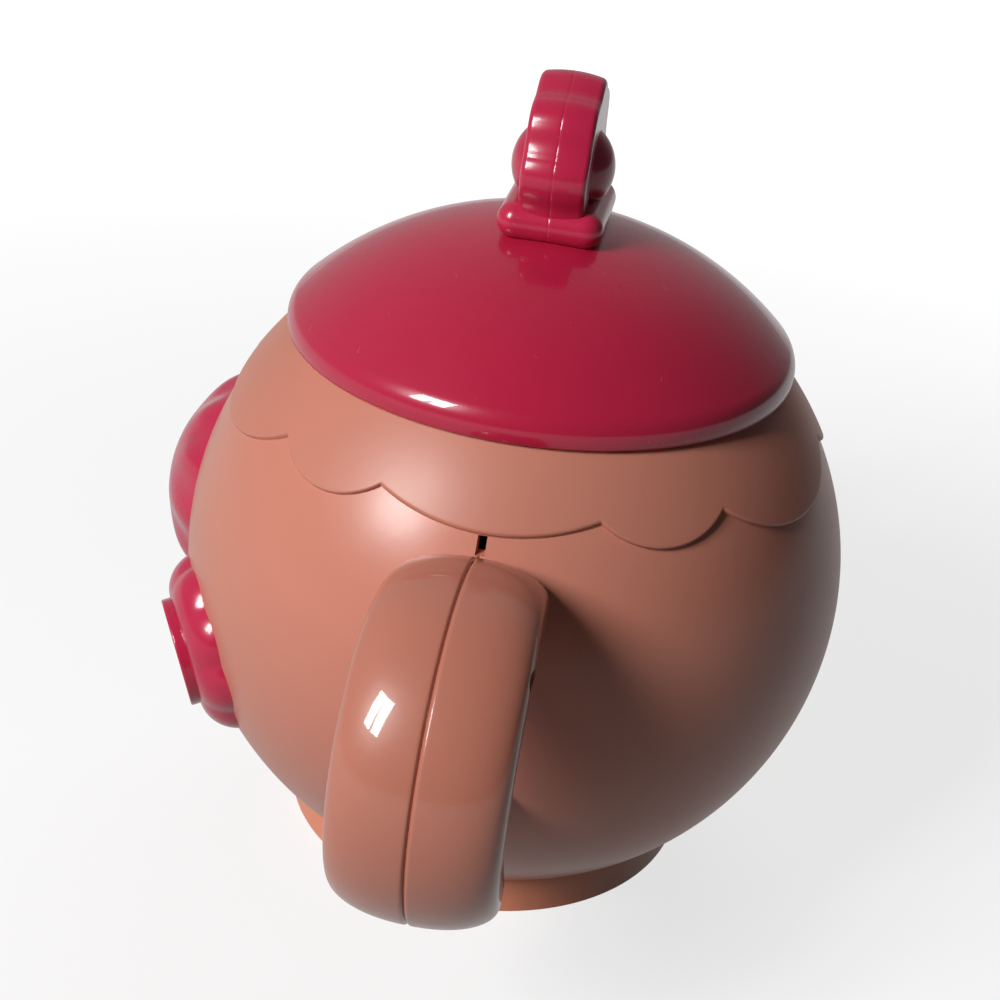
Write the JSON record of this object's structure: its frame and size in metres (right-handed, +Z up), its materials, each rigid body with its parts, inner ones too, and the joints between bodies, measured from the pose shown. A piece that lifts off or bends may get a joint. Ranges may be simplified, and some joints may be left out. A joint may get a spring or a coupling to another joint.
{
  "type": "toy teapot",
  "caption": "Ball-shaped toy teapot with a ring handle, spout, lift-off domed lid with a flower knob, scalloped collar, flower ornaments and a press button.",
  "frame": {"origin": "on the ball's vertical axis, at the table that the foot ring stands on", "axes": "+Z up, +X towards the handle, -X towards the spout, -Y towards the flower ornaments"},
  "size_m": [0.2217, 0.1495, 0.1669],
  "materials": {
    "tan_plastic": "glossy moulded plastic, salmon tan",
    "foot_plastic": "moulded plastic, orange tan",
    "red_plastic": "glossy moulded plastic, crimson",
    "white_plastic": "natural moulded plastic",
    "dark_plastic": "black moulded plastic",
    "board": "green board with solder mask",
    "screw_steel": "plated steel",
    "cell_skin": "plain printed cell jacket",
    "cone_paper": "pressed paper"
  },
  "bodies": {
    "pot": {"body_front_half": "tan_plastic", "body_back_half": "tan_plastic", "drip_collar": "tan_plastic", "inner_bowl": "tan_plastic", "large_flower": "red_plastic", "flower_bezel": "red_plastic", "button_spring": "screw_steel", "switch_board": "board", "switch_screws": "screw_steel", "case_screws": "screw_steel", "base_tray": "foot_plastic", "base_screws": "screw_steel", "battery_door": "foot_plastic", "door_screw": "screw_steel", "battery_cells": "cell_skin", "battery_contacts": "screw_steel", "sound_board": "board", "board_parts": "dark_plastic", "board_screws": "screw_steel", "speaker_frame": "screw_steel", "speaker_cone": "cone_paper", "speaker_magnet": "screw_steel", "power_switch": "dark_plastic", "wires": "dark_plastic"},
    "lid": {"lid_dome": "red_plastic", "lid_liner": "red_plastic", "knob_front_half": "red_plastic", "knob_back_half": "red_plastic", "knob_screws": "screw_steel"},
    "button": {"flower_button": "red_plastic", "button_clip": "white_plastic"},
    "switch_slider": {"power_slider": "white_plastic"}
  },
  "joints": [
    {"name": "lid_lift", "type": "slide", "parent": "pot", "child": "lid", "axis": [0, 0, 1], "range_m": [0, 0.06]},
    {"name": "button_press", "type": "slide", "parent": "pot", "child": "button", "axis": [-0.4665, 0.8518, 0.2383], "range_m": [0, 0.002], "stiffness_N_per_m": 400, "deforming": ["button_spring"]},
    {"name": "power_slide", "type": "slide", "parent": "pot", "child": "switch_slider", "axis": [1, 0, 0], "range_m": [0, 0.003]}
  ]
}
